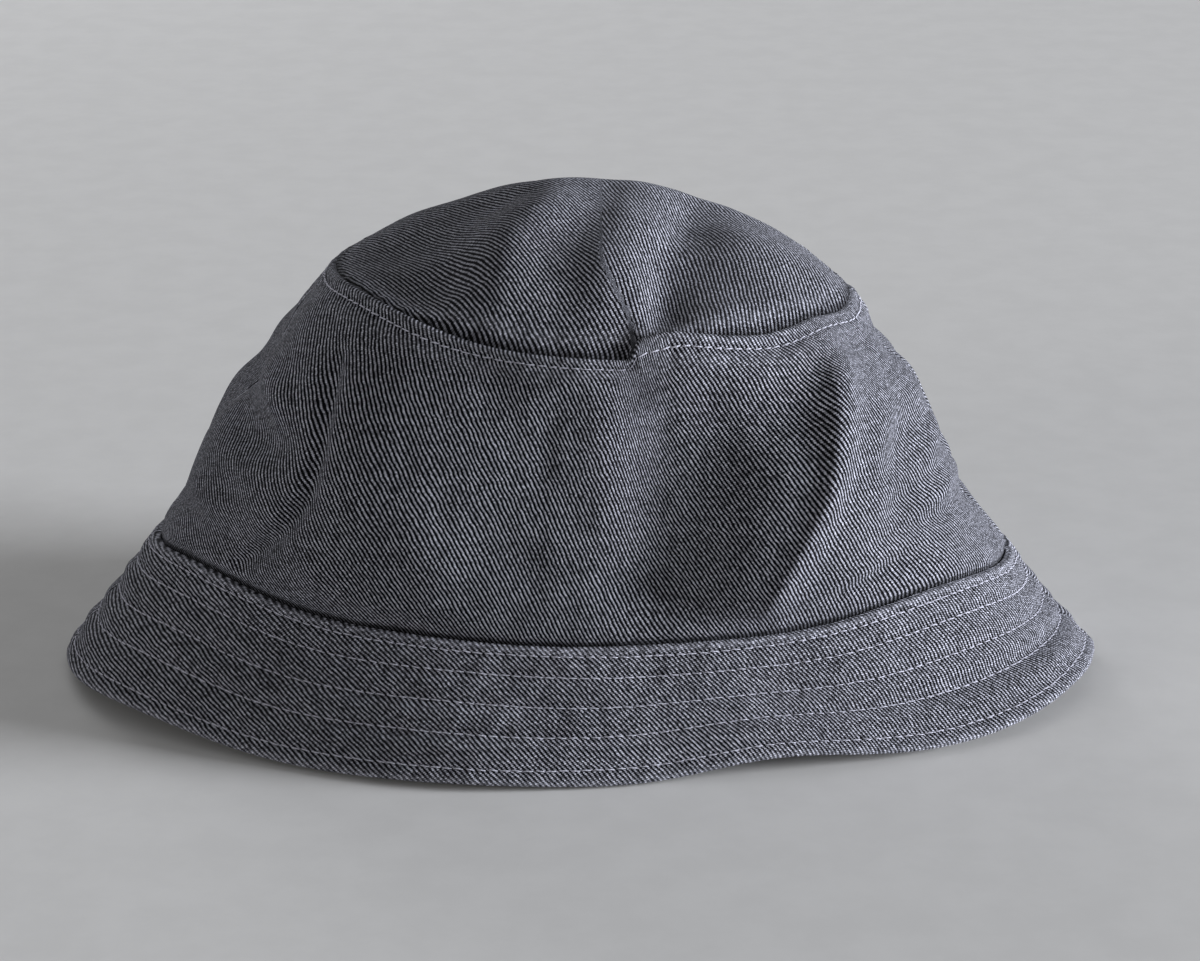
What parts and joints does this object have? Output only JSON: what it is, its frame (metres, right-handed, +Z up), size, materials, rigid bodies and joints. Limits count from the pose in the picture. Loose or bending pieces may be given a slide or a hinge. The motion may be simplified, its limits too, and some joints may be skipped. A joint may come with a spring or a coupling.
{
  "type": "bucket hat",
  "caption": "Soft twill denim bucket hat with a domed tip, flared side panels and a short stitched brim, standing on its brim.",
  "frame": {"origin": "on the ground at the middle of the brim's edge", "axes": "+Z up through the crown, -Y towards the front of the hat, +X towards the wearer's left"},
  "size_m": [0.284, 0.172, 0.1295],
  "materials": {
    "denim_tip": "matte",
    "denim_side": "matte",
    "denim_brim": "matte",
    "denim_under_brim": "matte",
    "lining_cotton": "matte",
    "interlining": "matte",
    "sweatband_cotton": "matte",
    "label_tape": "satin",
    "thread": "matte"
  },
  "bodies": {
    "root": {"crown_tip": "denim_tip", "lining_tip": "lining_cotton", "side_panel_front": "denim_side", "side_panel_back": "denim_side", "lining_side_front": "lining_cotton", "lining_side_back": "lining_cotton", "upper_brim_front": "denim_brim", "upper_brim_back": "denim_brim", "brim_interlining_front": "interlining", "brim_interlining_back": "interlining", "under_brim_front": "denim_under_brim", "under_brim_back": "denim_under_brim", "sweatband": "sweatband_cotton", "size_label": "label_tape", "tip_topstitch": "thread", "brim_seam_topstitch": "thread", "brim_stitch_upper": "thread", "brim_stitch_middle": "thread", "brim_stitch_lower": "thread", "hem_topstitch": "thread", "sweatband_stitch": "thread"}
  },
  "joints": []
}
